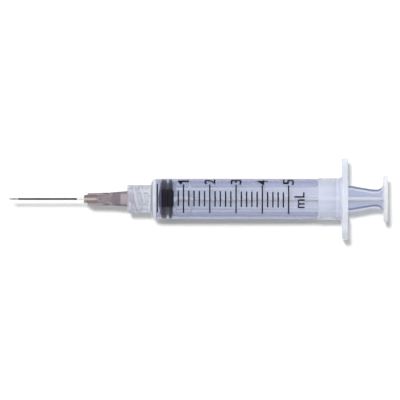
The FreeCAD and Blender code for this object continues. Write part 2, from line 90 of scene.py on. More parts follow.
# Between these radii stand the ridges of the thread in the collar
THREAD_RADII = (3.45 * MM, 3.9 * MM)

# Places along the plunger: the stopper's cone, the rod's guide disc and its thumb disc
CONE_END = STOPPER_HIGH.x - 3.8 * MM
GUIDE_DISC = (ZERO_LINE + 10.4 * MM, ZERO_LINE + 11.3 * MM)
THUMB_START = ROD_HIGH.x - 1.45 * MM
# The rod's webs: their thickness, half width, half width at the waist and the radius of the
# flare out to the thumb disc, and where they taper to the waist and start to flare
WEB_THICKNESS = 1.1 * MM
WEB_HALF, WAIST_HALF, FLARE = 4.45 * MM, 3.2 * MM, 2.3 * MM
TAPER_START, TAPER_END = ZERO_LINE + 64.48 * MM, ZERO_LINE + 71.95 * MM
FLARE_START = ZERO_LINE + 73.2 * MM
# The stopper's ribs: how far they are from the bore in the source, and where the faces that
# seal against it start and end, from the stopper's rear
BORE_CLEARANCE = 0.03 * MM
SEAL_FACES = {"front": (3.76 * MM, 2.17 * MM), "rear": (1.25 * MM, 0.30 * MM)}

PLASTIC_IOR = 1.49
WHITE = (1, 1, 1)
# Points nearer to each other than this are one
WELD = 0.001 * MM
# Faces that meet at less than this angle are shaded as one surface
SMOOTH_BELOW = math.radians(40)
# Turns a new cylinder or cone, which stands upright, to lie along the syringe
ALONG_SYRINGE = (0, math.radians(90), 0)


# Settings


def colour(name, description, default):
    """A setting that holds a colour."""
    return FloatVectorProperty(
        name=name, description=description, default=default, subtype="COLOR", size=3, min=0, max=1
    )


class SyringeSizes(bpy.types.PropertyGroup):
    """Sizes of the print, of the stopper's oiled faces and of the film of adhesive"""

    number_height: FloatProperty(
        name="Number height",
        description="Height of a number of the scale, which lies along the barrel",
        default=3.7 * MM,
        unit="LENGTH",
    )
    print_slant: FloatProperty(
        name="Print slant",
        description="How far the print turns round the barrel from one number to the next",
        default=math.radians(1.19),
        subtype="ANGLE",
    )
    line_growth: FloatProperty(
        name="Line growth",
        description="How much wider than in the source the ink of a line of the scale has run",
        default=0.08 * MM,
        unit="LENGTH",
    )
    ink_height: FloatProperty(
        name="Ink height",
        description="How far the printed ink stands proud of the barrel",
        default=0.03 * MM,
        unit="LENGTH",
    )
    unit_height: FloatProperty(
        name="Unit height",
        description="Height of the capital of the unit printed past the last number",
        default=3.4 * MM,
        unit="LENGTH",
    )
    unit_gap: FloatProperty(
        name="Unit gap",
        description="From the last line of the scale to the middle of the unit",
        default=3.4 * MM,
        unit="LENGTH",
    )
    seal_squeeze: FloatProperty(
        name="Seal squeeze",
        description="How far the oiled faces of the stopper's ribs press into the wall of the bore",
        default=0.01 * MM,
        unit="LENGTH",
    )
    film_length: FloatProperty(
        name="Adhesive film",
        description="How far a film of adhesive runs out along the cannula from the hub",
        default=1.9 * MM,
        unit="LENGTH",
    )


class SyringeColours(bpy.types.PropertyGroup):
    """Colours that the looks of the pieces start from"""

    barrel: colour("Barrel", "Tint of the clear plastic of the barrel", (0.43, 0.46, 0.65))
    rod: colour("Plunger rod", "Tint of the milky plastic of the plunger rod", (0.44, 0.48, 0.68))
    hub: colour("Needle hub", "Tint of the smoky plastic of the needle's hub", (0.50, 0.42, 0.47))
    rubber: colour("Stopper", "Colour of the stopper's rubber", (0.014, 0.012, 0.022))
    ink: colour("Ink", "Colour of the printed scale", (0.014, 0.012, 0.018))
    steel: colour("Cannula", "Colour of the steel cannula", (0.24, 0.24, 0.275))


class SyringeStage(bpy.types.PropertyGroup):
    """Light of the stage"""

    key_strength: FloatProperty(
        name="Key light",
        description="Strength of the lamp that casts the shadow, in watts per square metre",
        default=2.4,
    )
    key_size: FloatProperty(
        name="Key size",
        description="How wide the key light looks from the syringe",
        default=math.radians(11),
        subtype="ANGLE",
    )
    sides: FloatProperty(
        name="Side light",
        description="Brightness of the white sides of the studio, where 1 is white",
        default=0.9,
    )
    ceiling: FloatProperty(
        name="Ceiling",
        description="Brightness of the darker ceiling above the syringe",
        default=0.1,
    )


# Shader maths


class Value:
    """A socket of a node tree. Arithmetic on it adds Math nodes to the tree."""

    def __init__(self, recipe, socket):
        self.recipe = recipe
        self.socket = socket

    def maths(self, operation, *terms):
        """A Math node of the given operation on this value and other values or numbers."""
        settings = {"operation": operation}
        sockets = dict(enumerate((self, *terms)))
        return self.recipe.node("ShaderNodeMath", settings, sockets)

    def __add__(self, other):
        return self.maths("ADD", other)

    def __sub__(self, other):
        return self.maths("SUBTRACT", other)

    def __rsub__(self, other):
        return (self * -1).maths("ADD", other)

    def __mul__(self, other):
        return self.maths("MULTIPLY", other)

    def __truediv__(self, other):
        return self.maths("DIVIDE", other)

    __radd__ = __add__


class Recipe:
    """A node tree that is being built, and the kinds of nodes that are added to it."""

    def __init__(self, tree):
        self.tree = tree
        tree.nodes.clear()

    def node(self, kind, settings=None, sockets=None, output=0):
        """Adds a node. Settings are set first, then its sockets get their numbers or links."""
        node = self.tree.nodes.new(kind)
        for name, setting in (settings or {}).items():
            setattr(node, name, setting)
        for name, value in (sockets or {}).items():
            if isinstance(value, Value):
                self.tree.links.new(value.socket, node.inputs[name])
            elif isinstance(value, tuple) and node.inputs[name].type == "RGBA":
                node.inputs[name].default_value = (*value, 1.0)
            else:
                node.inputs[name].default_value = value
        return Value(self, node.outputs[output])

    def place(self, scale):
        """Object coordinates, stretched along each axis."""
        coordinates = self.node("ShaderNodeTexCoord", output="Object")
        return self.node("ShaderNodeMapping", {}, {"Vector": coordinates, "Scale": scale})

    def axis(self, name):
        """One of the object coordinates, in metres."""
        coordinates = self.node("ShaderNodeTexCoord", output="Object")
        return self.node("ShaderNodeSeparateXYZ", {}, {0: coordinates}, output=name)

    def aside(self):
        """How far to either side of the axis of the syringe a place is, in metres."""
        return self.axis("Y").maths("ABSOLUTE")

    def rise(self):
        """How far above or below the axis of the syringe a place is, in metres."""
        return (self.axis("Z") - AXIS_HEIGHT).maths("ABSOLUTE")

    def from_axis(self):
        """How far a place is from the axis of the syringe, in metres."""
        aside, rise = self.aside(), self.rise()
        return (aside * aside + rise * rise).maths("SQRT")

    def lower_half(self):
        """1 below the axis of the syringe and 0 above it."""
        soft = 0.5 * MM
        return self.steps(self.axis("Z"), AXIS_HEIGHT - soft, AXIS_HEIGHT + soft, 1.0, 0.0)

    def noise(self, size, stretch=(1, 1, 1), detail=2.0):
        """A noise pattern from 0 to 1 whose lumps are about as large as size, in metres."""
        scale = tuple(part / size for part in stretch)
        sockets = {"Vector": self.place(scale), "Scale": 1.0, "Detail": detail}
        return self.node("ShaderNodeTexNoise", {}, sockets)

    def mix(self, factor, low, high):
        """A colour between two others."""
        settings = {"data_type": "RGBA", "clamp_factor": True}
        return self.node("ShaderNodeMix", settings, {0: factor, 6: low, 7: high}, output=2)

    def steps(self, value, low, high, start=0.0, end=1.0, kind="SMOOTHSTEP"):
        """A value that goes from start to end as the given one goes from low to high."""
        settings = {"interpolation_type": kind}
        sockets = {
            "Value": value,
            "From Min": low,
            "From Max": high,
            "To Min": start,
            "To Max": end,
        }
        return self.node("ShaderNodeMapRange", settings, sockets)

    def between(self, value, low, high, soft):
        """1 where the value lies between low and high, going soft to 0 beyond them."""
        past_low = self.steps(value, low - soft, low + soft)
        return past_low * self.steps(value, high - soft, high + soft, 1.0, 0.0)

    def edge(self, power):
        """0 where a surface faces the eye, rising to 1 where it turns away."""
        facing = self.node("ShaderNodeLayerWeight", {}, {"Blend": 0.5}, output="Facing")
        return facing.maths("POWER", power)

    def bump(self, height, depth):
        """The normal of a surface raised by height times depth, in metres."""
        return self.node("ShaderNodeBump", {}, {"Height": height, "Distance": depth})

    def ray(self, kind):
        """1 for a ray of this kind, such as Camera or Shadow, and 0 for any other."""
        return self.node("ShaderNodeLightPath", output=f"Is {kind} Ray")

    def blend(self, factor, low, high):
        """A shader between two others."""
        return self.node("ShaderNodeMixShader", {}, {0: factor, 1: low, 2: high})

    def show(self, shader, kind="Material"):
        """Makes a shader the one that the material, or the world, shows."""
        output = self.tree.nodes.new(f"ShaderNodeOutput{kind}")
        self.tree.links.new(shader.socket, output.inputs["Surface"])


def new_material(name):
    """A material with an empty node tree, and its recipe."""
    material = bpy.data.materials.new(name)
    material.use_nodes = True
    return material, Recipe(material.node_tree)


def tinted(shade, factor):
    """A colour made lighter or darker."""
    return tuple(min(1.0, part * factor) for part in shade)


def faded(shade, share):
    """A colour brought towards white."""
    return tuple(part + (1 - part) * share for part in shade)


def let_lamps_through(recipe, shader, share, second=None, mask=None):
    """Lets this share of the lamps' light past a clear surface, to what lies behind it.

    A second share, where it is given, takes over as its mask goes from 0 to 1.
    """
    past = recipe.node("ShaderNodeBsdfTransparent", {}, {"Color": (share, share, share)})
    if second is not None:
        dim = recipe.node("ShaderNodeBsdfTransparent", {}, {"Color": (second, second, second)})
        past = recipe.blend(mask, past, dim)
    return recipe.blend(recipe.ray("Shadow"), shader, past)


def moulded(recipe, clear, milk, milky, gloss, relief, shine=0.5):
    """A moulded plastic that light goes through, tinted by clear, or scatters in, as milk.

    Milky says how much of the light scatters, from 0 to 1.
    """
    both = {"Roughness": gloss, "IOR": PLASTIC_IOR, "Specular IOR Level": shine, "Normal": relief}
    window = recipe.node(
        "ShaderNodeBsdfPrincipled", {}, {"Base Color": clear, "Transmission Weight": 1.0, **both}
    )
    body = recipe.node("ShaderNodeBsdfPrincipled", {}, {"Base Color": milk, **both})
    return recipe.blend(milky, window, body)


def clear_plastic(shade):
    """The barrel's polypropylene: clear and bluish, deeper where the eye looks along the wall.

    It is milky where it is thick: at the collar, the shoulder, the rear end and the flange.
    Painted highlights make the thread's ridges and two rings, behind the shoulder and at the
    mouth, milky and pale, and painted shade turns the wall's outermost edges deep blue.
    """
    material, recipe = new_material("clear_plastic_look")
    haze = recipe.noise(2.2 * MM, stretch=(0.35, 1, 1), detail=3)
    grain = recipe.noise(0.35 * MM, stretch=(0.4, 1, 1))
    ripple = recipe.noise(0.7 * MM, stretch=(1, 0.5, 1))
    along = recipe.axis("X")
    front = recipe.steps(along, SHOULDER - 0.4 * MM, SHOULDER + 0.2 * MM, 1.0, 0.0)
    # Painted highlight: the thread's ridges are made milky, so that they show as pale lines.
    ridge_highlights = front * recipe.between(recipe.from_axis(), *THREAD_RADII, 0.05 * MM)
    shoulder = recipe.between(along, SHOULDER - 0.5 * MM, TUBE_START, 0.3 * MM)
    # Painted highlight: a pale ring behind the shoulder.
    shoulder_highlight = recipe.between(along, *SHOULDER_HIGHLIGHT, 0.15 * MM)
    rearward = recipe.steps(along, ZERO_LINE + 15 * MM, BAND_START)
    band = recipe.steps(along, BAND_START - 0.1 * MM, BAND_START + 0.3 * MM)
    # Painted highlight: a pale ring at the mouth of the rear end.
    mouth_highlight = recipe.between(along, *MOUTH_HIGHLIGHT, 0.2 * MM)
    flange = recipe.steps(along, FLANGE_START - 0.3 * MM, FLANGE_START + 0.3 * MM)
    milky = 0.003 + haze * 0.01 + front * 0.16 + ridge_highlights * 0.45 + shoulder * 0.26
    milky = milky + shoulder_highlight * 0.4 + rearward * 0.05 + band * 0.31
    milky = milky + mouth_highlight * 0.12 + flange * 0.42
    milk = recipe.mix(haze, (0.79, 0.83, 0.94), (0.85, 0.88, 0.96))
    turned_away = recipe.edge(1.0)
    depth = recipe.steps(turned_away, 0.03, 0.42)
    # Painted shade: the outermost edges of the wall are turned deep blue and a little rougher.
    painted_edge_shade = recipe.steps(turned_away, 0.5, 0.66) * (1 - band)
    pale = recipe.mix(front, faded(shade, 0.62), faded(shade, 0.93))
    lighter = recipe.steps(along, ZERO_LINE + 20 * MM, BAND_START)
    deep = recipe.mix(lighter, shade, tinted(shade, 1.08))
    deep = recipe.mix(front, deep, faded(shade, 0.5))
    deep = recipe.mix(band * 0.6, deep, (0.84, 0.90, 1.0))
    clear = recipe.mix(depth, pale, deep)
    clear = recipe.mix(painted_edge_shade, clear, (0.18, 0.22, 0.42))
    clear = recipe.mix(haze, clear, recipe.mix(0.06, clear, WHITE))
    gloss = 0.05 + grain * 0.04 + painted_edge_shade * 0.1
    relief = recipe.bump(haze + ripple * front * 3.0, 0.02 * MM)
    shader = moulded(recipe, clear, milk, milky, gloss, relief, shine=0.3)
    recipe.show(let_lamps_through(recipe, shader, 0.92, second=0.12, mask=recipe.lower_half()))
    return material


def web_lines(recipe):
    """Masks of the dark and the light lines that the rounded edges of the rod's webs show.

    They follow the webs' outline, which narrows to the waist and flares out to the disc. The
    dark lines are painted shade and the light lines painted highlights.
    """
    along = recipe.axis("X")
    aside = recipe.aside()
    half = recipe.steps(along, TAPER_START, TAPER_END, WEB_HALF, WAIST_HALF, "LINEAR")
    run = (along - FLARE_START).maths("MAXIMUM", 0.0).maths("MINIMUM", FLARE)
    flare = FLARE - (FLARE * FLARE - run * run).maths("SQRT")
    inward = half + flare - aside.maths("MAXIMUM", recipe.rise())
    soft = 0.12 * MM
    outer = recipe.between(inward, -0.5 * MM, 0.7 * MM, soft)
    inner = recipe.between(inward, 0.7 * MM, 1.35 * MM, soft)
    left = recipe.steps(recipe.axis("Y"), -0.1 * MM, 0.1 * MM)
    beside = recipe.steps(aside, 0.7 * MM, 0.9 * MM)
    dark = (left * outer + (1 - left) * inner) * beside
    light = (left * inner + (1 - left) * outer) * beside
    return dark, light


def translucent_plastic(shade):
    """The plunger rod's polypropylene: milkier than the barrel's, most so at its discs, and painted
    paler where it sits in the barrel.
    """
    material, recipe = new_material("translucent_plastic_look")
    cloud = recipe.noise(1.8 * MM, stretch=(0.4, 1, 1), detail=3)
    grain = recipe.noise(0.3 * MM)
    along = recipe.axis("X")
    # Painted light: where the rod sits in the barrel it is made milkier and paler, most towards the
    # rear.
    inside = recipe.steps(along, BAND_START, FLANGE_START, 1.0, 0.0)
    thick = inside * recipe.steps(along, ZERO_LINE + 5 * MM, BAND_START - 5 * MM, 0.48, 0.82)
    thumb_disc = recipe.steps(along, THUMB_START - 0.5 * MM, THUMB_START + 0.2 * MM)
    disc = thumb_disc.maths("MAXIMUM", recipe.between(along, *GUIDE_DISC, 0.1 * MM))
    webs = 1 - disc
    # The upright web is made milkier and paler: partly the scattering down its depth, partly painted
    # light, more so in the barrel.
    crest = webs * recipe.steps(recipe.aside(), 0.5 * WEB_THICKNESS, 0.8 * WEB_THICKNESS, 1.0, 0.0)
    # Painted shade and painted highlights: dark and light lines along the edges of the webs.
    dark, light = web_lines(recipe)
    dark = dark * webs * (0.9 - inside * 0.65)
    light = light * webs
    milky = 0.14 + cloud * 0.05 + thick + disc * 0.65 + light * 0.35 + crest * (0.4 + inside * 0.4)
    milky = milky * (1 - dark * 0.6)
    milk = recipe.mix(cloud, (0.79, 0.84, 0.95), (0.86, 0.90, 0.98))
    milk = recipe.mix(crest.maths("MAXIMUM", disc), milk, (0.93, 0.95, 0.99))
    milk = recipe.mix(dark, milk, (0.45, 0.45, 0.62))
    clear = recipe.mix(cloud, tinted(shade, 0.98), tinted(shade, 1.02))
    clear = recipe.mix(recipe.edge(1.0), clear, tinted(shade, 0.7))
    clear = recipe.mix(dark, clear, tinted(shade, 0.5))
    gloss = 0.08 + grain * 0.06
    shader = moulded(recipe, clear, milk, milky, gloss, recipe.bump(cloud, 0.02 * MM))
    recipe.show(let_lamps_through(recipe, shader, 0.87, second=0.05, mask=recipe.lower_half()))
    return material


def smoky_plastic(shade):
    """The needle hub's translucent plastic, brown to purple where it is thick.

    The tips and rear ends of its fins are pale with painted highlights, its left side is dark
    with painted shade, as are its edges and the flanks of its cone, and where the nozzle fills it
    or the collar covers it, it is painted paler.
    """
    material, recipe = new_material("smoky_plastic_look")
    cloud = recipe.noise(1.2 * MM, detail=3)
    along = recipe.axis("X")
    rise = recipe.rise()
    middle = recipe.steps(recipe.aside(), 0.35 * MM, 0.6 * MM, 1.0, 0.0)
    fins = recipe.steps(along, FINS_END - 2.0 * MM, FINS_END + 0.2 * MM, 1.0, 0.0)
    # Painted highlights: pale cream on the tips of the upper and lower fins, and at the rear ends of
    # the fins.
    tips = middle * fins * recipe.steps(rise, 0.85 * MM, 1.0 * MM)
    ends = middle * recipe.between(along, FINS_END, FINS_END + 3.6 * MM, 0.5 * MM)
    ends = ends * recipe.steps(rise, 1.2 * MM, 1.4 * MM)
    # Painted shade: a dark band on the left side of the middle fin.
    left = recipe.between(recipe.axis("Y"), 0.55 * MM, 1.35 * MM, 0.15 * MM)
    left = left * recipe.steps(along, FINS_END, FINS_END + 1.5 * MM, 1.0, 0.0)
    socket = recipe.steps(along, SOCKET_START - 0.3 * MM, SOCKET_START + 0.3 * MM)
    # Painted light: paler where the nozzle fills it and where the collar covers it.
    nozzle = recipe.between(along, NOZZLE_TIP - 0.1 * MM, COLLAR_FRONT, 0.25 * MM)
    covered = recipe.steps(along, COLLAR_FRONT - 0.1 * MM, COLLAR_FRONT + 0.4 * MM)
    # Painted shade: the flanks of the cone behind the fins and all the edges are darkened.
    painted_flank_shade = recipe.steps(recipe.aside(), 1.6 * MM, 1.9 * MM)
    painted_flank_shade = painted_flank_shade * recipe.steps(along, FINS_END + 0.3 * MM, FINS_END + 1.2 * MM)
    painted_edge_shade = recipe.edge(1.2).maths("MAXIMUM", painted_flank_shade * 0.75) * (1 - covered)
    milky = 0.25 + cloud * 0.08 + tips * 0.45 + ends * 0.25 + left * 0.2
    milky = milky + socket * 0.08 + nozzle * 0.25 + painted_flank_shade * 0.15
    milk = recipe.mix(cloud, (0.40, 0.34, 0.38), (0.54, 0.46, 0.50))
    milk = recipe.mix(socket * 0.5, milk, (0.55, 0.46, 0.52))
    milk = recipe.mix(left * 0.6, milk, (0.16, 0.14, 0.15))
    milk = recipe.mix(nozzle * 0.7, milk, (0.72, 0.64, 0.67))
    milk = recipe.mix(painted_edge_shade, milk, (0.10, 0.08, 0.10))
    milk = recipe.mix(tips, milk, (0.72, 0.61, 0.54))
    milk = recipe.mix(ends, milk, (0.48, 0.41, 0.45))
    milk = recipe.mix(covered, milk, (0.76, 0.66, 0.78))
    clear = recipe.mix(cloud, tinted(shade, 0.94), tinted(shade, 1.06))
    clear = recipe.mix(covered, clear, faded(shade, 0.6))
    clear = recipe.mix(painted_edge_shade, clear, tinted(shade, 0.3))
    gloss = 0.10 + cloud * 0.05
    shader = moulded(recipe, clear, milk, milky, gloss, recipe.bump(cloud, 0.01 * MM))
    recipe.show(let_lamps_through(recipe, shader, 0.2, second=0.45, mask=covered))
    return material


def rubber(shade):
    """The stopper's dark rubber, wetted by oil; its cone and its sides are made paler, a painted sheen.
    """
    material, recipe = new_material("rubber_look")
    oil = recipe.noise(1.0 * MM, detail=4)
    # Painted sheen: the cone and the sides are made paler.
    cone = recipe.steps(recipe.axis("X"), CONE_END - 0.3 * MM, CONE_END + 0.1 * MM, 1.0, 0.0)
    sides = recipe.steps(recipe.aside(), 3.2 * MM, 4.0 * MM)
    colour = recipe.mix(oil, tinted(shade, 0.7), tinted(shade, 1.3))
    colour = recipe.mix(sides, colour, (0.022, 0.018, 0.06))
    colour = recipe.mix(cone, colour, tinted(shade, 18.0))
    shader = recipe.node("ShaderNodeBsdfPrincipled", {}, {
        "Base Color": colour,
        "Roughness": 0.28 + oil * 0.2,
        "Specular IOR Level": 0.2,
        "Normal": recipe.bump(oil, 0.02 * MM),
    })
    recipe.show(shader)
    return material


def printed_ink(shade):
    """The scale's dark ink, a little thinner in places."""
    material, recipe = new_material("printed_ink_look")
    cover = recipe.noise(0.25 * MM, detail=3)
    shader = recipe.node("ShaderNodeBsdfPrincipled", {}, {
        "Base Color": recipe.mix(cover, tinted(shade, 0.7), tinted(shade, 1.8)),
        "Roughness": 0.42 + cover * 0.2,
        "Specular IOR Level": 0.0,
    })
    recipe.show(let_lamps_through(recipe, shader, 0.8))
    return material


def drawn_steel(shade):
    """The cannula's steel, drawn and polished along its length and ground matt on its bevel."""
    material, recipe = new_material("drawn_steel_look")
    draw = recipe.noise(0.05 * MM, stretch=(0.02, 1, 1))
    ground = recipe.steps(recipe.axis("X"), BEVEL_HEEL - 0.2 * MM, BEVEL_HEEL + 0.2 * MM, 1.0, 0.0)
    colour = recipe.mix(draw, tinted(shade, 0.88), tinted(shade, 1.08))
    # Painted shade: the steel darkens towards its edges.
    colour = recipe.mix(recipe.edge(1.0), colour, tinted(shade, 0.45))
    shader = recipe.node("ShaderNodeBsdfPrincipled", {}, {
        "Base Color": recipe.mix(ground, colour, (0.62, 0.60, 0.59)),
        "Metallic": 1.0 - ground * 0.7,
        "Roughness": 0.16 + draw * 0.12 + ground * 0.25,
        "Normal": recipe.bump(draw, 0.002 * MM),
    })
    recipe.show(shader)
    return material


def clear_glue():
    """The cured adhesive in the hub's nose and on the cannula: whitish, partly its own colour and
    partly a painted highlight.
    """
    material, recipe = new_material("clear_glue_look")
    wave = recipe.noise(0.4 * MM)
    clear = recipe.mix(wave, (0.86, 0.84, 0.82), (0.94, 0.92, 0.9))
    milk = (0.96, 0.96, 0.97)
    milky = 0.75 + wave * 0.2
    gloss = 0.1 + wave * 0.08
    shader = moulded(recipe, clear, milk, milky, gloss, recipe.bump(wave, 0.02 * MM))
    recipe.show(let_lamps_through(recipe, shader, 0.6))
    return material


def dress(node, material):
    """Gives a CAD node a look through its material slots."""
    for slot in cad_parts[node].material_slots:
        slot.material = material


# Printed numbers

# How bold the lettering is typed: a 1 is bolder than the rest, and a 4 lighter, so that the gap
# in it stays open
BOLDNESS = {"1": 0.03, "4": 0.002}
USUAL_BOLDNESS = 0.008
# How it is laid on the barrel: the width of the strips that it is cut into, how far above the
# tube it starts, and the gap that is left under its ink
STRIP = 0.3 * MM
LAID_AT = 0.2 * MM
INK_GAP = 0.005 * MM


def typed(words):
    """Words typed flat as a mesh, standing on y = 0."""
    bpy.ops.object.text_add()
    text = bpy.context.object
    text.data.body = words
    text.data.resolution_u = 6
    text.data.offset = BOLDNESS.get(words, USUAL_BOLDNESS)
    bpy.ops.object.convert(target="MESH")
    return bpy.context.object


def flag_of_one(stem):
    """The slanted flag that the digit 1 has, added at the top of its bare stem."""
    corners = [vertex.co for vertex in stem.data.vertices]
    left = min(corner.x for corner in corners)
    top = max(corner.y for corner in corners)
    # The flag's corners, in the size that type has before it is fitted
    spots = (
        (left - 0.18, top - 0.26),
        (left + 0.02, top - 0.30),
        (left - 0.18, top - 0.14),
        (left + 0.02, top - 0.02),
    )
    bpy.ops.mesh.primitive_plane_add(size=1.0)
    flag = bpy.context.object
    for vertex, spot in zip(flag.data.vertices, spots):
        vertex.co = (*spot, 0.0)
    stem.select_set(True)
    bpy.context.view_layer.objects.active = stem
    bpy.ops.object.join()
    return stem


def fit(flat, width, height):
    """Centres flat lettering and stretches it to a height and a width, or in proportion.

    Gives back half the width that it has then.
    """
    corners = [vertex.co for vertex in flat.data.vertices]
    low = Vector(min(corner[axis] for corner in corners) for axis in range(3))
    high = Vector(max(corner[axis] for corner in corners) for axis in range(3))
    tall = height / (high.y - low.y)
    wide = width / (high.x - low.x) if width else tall
    flat.data.transform(Matrix.Translation(-(low + high) / 2))
    flat.data.transform(Matrix.Diagonal((wide, tall, 1.0, 1.0)))
    return (high.x - low.x) * wide / 2


def cut_in_strips(half_width):
    """Cuts the active flat lettering into narrow strips, which can bend round the barrel."""
    bpy.ops.object.mode_set(mode="EDIT")
    bpy.ops.mesh.select_all(action="SELECT")
    bpy.ops.mesh.remove_doubles(threshold=WELD)
    strips = math.ceil(2 * half_width / STRIP)
    for number in range(1, strips):
        bpy.ops.mesh.select_all(action="SELECT")
        cut = -half_width + 2 * half_width * number / strips
        bpy.ops.mesh.bisect(plane_co=(cut, 0, 0), plane_no=(1, 0, 0))
    bpy.ops.object.mode_set(mode="OBJECT")


def printed(words, width, height, along, turn, ink_height):
    """Words printed round the barrel, their tops towards the needle.

    They are typed flat, laid against the tube by their middle, drawn onto it and then
    thickened to the ink's height.
    """
    bpy.ops.object.select_all(action="DESELECT")
    flat = typed(words)
    if words == "1":
        flat = flag_of_one(flat)
    half_width = fit(flat, width, height)
    cut_in_strips(half_width)
    stand = Matrix.Translation((along, 0, AXIS_HEIGHT))
    stand = stand @ Matrix.Rotation(-turn, 4, "X")
    stand = stand @ Matrix.Translation((0, 0, TUBE_RADIUS + LAID_AT))
    stand = stand @ Matrix.Rotation(math.radians(90), 4, "Z")
    flat.data.transform(stand)
    wrap = flat.modifiers.new("wrap", "SHRINKWRAP")
    wrap.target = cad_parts["barrel"]
    wrap.wrap_method = "NEAREST_SURFACEPOINT"
    wrap.wrap_mode = "ABOVE_SURFACE"
    wrap.offset = INK_GAP
    bpy.ops.object.modifier_apply(modifier="wrap")
    thicken = flat.modifiers.new("thicken", "SOLIDIFY")
    thicken.thickness = ink_height
    thicken.offset = 1.0
    bpy.ops.object.modifier_apply(modifier="thicken")
    return flat


def slant_at(along, slant):
    """How far round the barrel the slightly slanted print has turned at a place along it."""
    return slant * ((along - ZERO_LINE) / NUMBER_STEP - CAPACITY / 2)


def finish_piece(piece, name, material, body):
    """Names a new piece, gives it its look and ties it to the body it moves with."""
    piece.name = name
    piece.data.materials.clear()
    piece.data.materials.append(material)
    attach(piece, body)


class SYRINGE_OT_numbers(bpy.types.Operator):
    """Prints the numbers of the scale and its unit round the barrel"""

    bl_idname = "syringe.numbers"
    bl_label = "Printed numbers"

    def execute(self, context):
        sizes = context.scene.syringe_sizes
        ink = printed_ink(tuple(context.scene.syringe_colours.ink))
        for number, span in enumerate(NUMBER_SPANS, start=1):
            start, end = (math.radians(angle) for angle in span)
            place = (ZERO_LINE + number * NUMBER_STEP, (start + end) / 2)
            width = (end - start) * TUBE_RADIUS
            piece = printed(str(number), width, sizes.number_height, *place, sizes.ink_height)
            finish_piece(piece, f"scale_number_{number}", ink, "barrel")
        along = SCALE_HIGH.x + sizes.unit_gap
        place = (along, -slant_at(along, sizes.print_slant))
        piece = printed("mL", None, sizes.unit_height, *place, sizes.ink_height)
        finish_piece(piece, "scale_unit", ink, "barrel")
        return {"FINISHED"}


# Finishes of the CAD nodes, and the small pieces that go with them


def run_lines(growth, slant):
    """The lines of the scale as a piece of its own, slanted, their ink run a little.

    The faces at both sides of each line are moved apart, and each point is then turned about
    the axis of the syringe.
    """
    bpy.ops.object.select_all(action="DESELECT")
    lines = bpy.data.objects.new("printed_lines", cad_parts["scale_print"].data.copy())
    bpy.context.collection.objects.link(lines)
    lines.select_set(True)
    bpy.context.view_layer.objects.active = lines
    bpy.ops.object.mode_set(mode="EDIT")
    bpy.ops.mesh.select_all(action="SELECT")
    bpy.ops.mesh.remove_doubles(threshold=WELD)
    bpy.ops.mesh.customdata_custom_splitnormals_clear()
    for way in (-1, 1):
        bpy.ops.mesh.select_all(action="DESELECT")
        bpy.ops.object.mode_set(mode="OBJECT")
        # The faces that look this way along the barrel
        for face in lines.data.polygons:
            face.select = face.normal.x * way > 0.9
        bpy.ops.object.mode_set(mode="EDIT")
        bpy.ops.transform.translate(value=(way * growth / 2, 0, 0))
    bpy.ops.object.mode_set(mode="OBJECT")
    for vertex in lines.data.vertices:
        across, up = vertex.co.y, vertex.co.z - AXIS_HEIGHT
        turn = slant_at(vertex.co.x, slant)
        vertex.co.y = across * math.cos(turn) - up * math.sin(turn)
        vertex.co.z = AXIS_HEIGHT + across * math.sin(turn) + up * math.cos(turn)
    bpy.ops.object.shade_smooth_by_angle(angle=SMOOTH_BELOW)
    return lines


class SYRINGE_OT_barrel(bpy.types.Operator):
    """Gives the barrel its look and prints the lines of its scale"""

    bl_idname = "syringe.barrel"
    bl_label = "Barrel and scale"

    def execute(self, context):
        colours = context.scene.syringe_colours
        dress("barrel", clear_plastic(tuple(colours.barrel)))
        ink = printed_ink(tuple(colours.ink))
        dress("scale_print", ink)
        sizes = context.scene.syringe_sizes
        lines = run_lines(sizes.line_growth, sizes.print_slant)
        finish_piece(lines, "printed_lines", ink, "barrel")
        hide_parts("scale_print")
        return {"FINISHED"}


def soften(piece, width):
    """Rounds the edges of the active piece and shades it smooth."""
    rounding = piece.modifiers.new("soften", "BEVEL")
    rounding.width = width
    rounding.segments = 2
    rounding.limit_method = "ANGLE"
    bpy.ops.object.modifier_apply(modifier="soften")
    bpy.ops.object.shade_smooth_by_angle(angle=SMOOTH_BELOW)


def seal_face(start, end, radius):
    """The oiled face of a rib of the stopper: a thin band pressed against the bore."""
    bpy.ops.object.select_all(action="DESELECT")
    bpy.ops.mesh.primitive_cylinder_add(
        vertices=144,
        radius=radius,
        depth=end - start,
        end_fill_type="NOTHING",
        location=((start + end) / 2, 0, AXIS_HEIGHT),
        rotation=ALONG_SYRINGE,
    )
    band = bpy.context.object
    bpy.ops.object.transform_apply(location=True, rotation=True, scale=True)
    wall = band.modifiers.new("wall", "SOLIDIFY")
    wall.thickness = 0.06 * MM
    wall.offset = -1.0
    bpy.ops.object.modifier_apply(modifier="wall")
    soften(band, 0.02 * MM)
    return band


class SYRINGE_OT_plunger(bpy.types.Operator):
    """Gives the plunger rod and the stopper their looks, and the stopper its oiled faces"""

    bl_idname = "syringe.plunger"
    bl_label = "Plunger and stopper"

    def execute(self, context):
        colours = context.scene.syringe_colours
        black = rubber(tuple(colours.rubber))
        dress("plunger_rod", translucent_plastic(tuple(colours.rod)))
        dress("stopper", black)
        bore = STOPPER_HIGH.z - AXIS_HEIGHT + BORE_CLEARANCE
        radius = bore + context.scene.syringe_sizes.seal_squeeze
        for name, (start, end) in SEAL_FACES.items():
            band = seal_face(STOPPER_HIGH.x - start, STOPPER_HIGH.x - end, radius)
            finish_piece(band, f"stopper_seal_{name}", black, "piston")
        return {"FINISHED"}


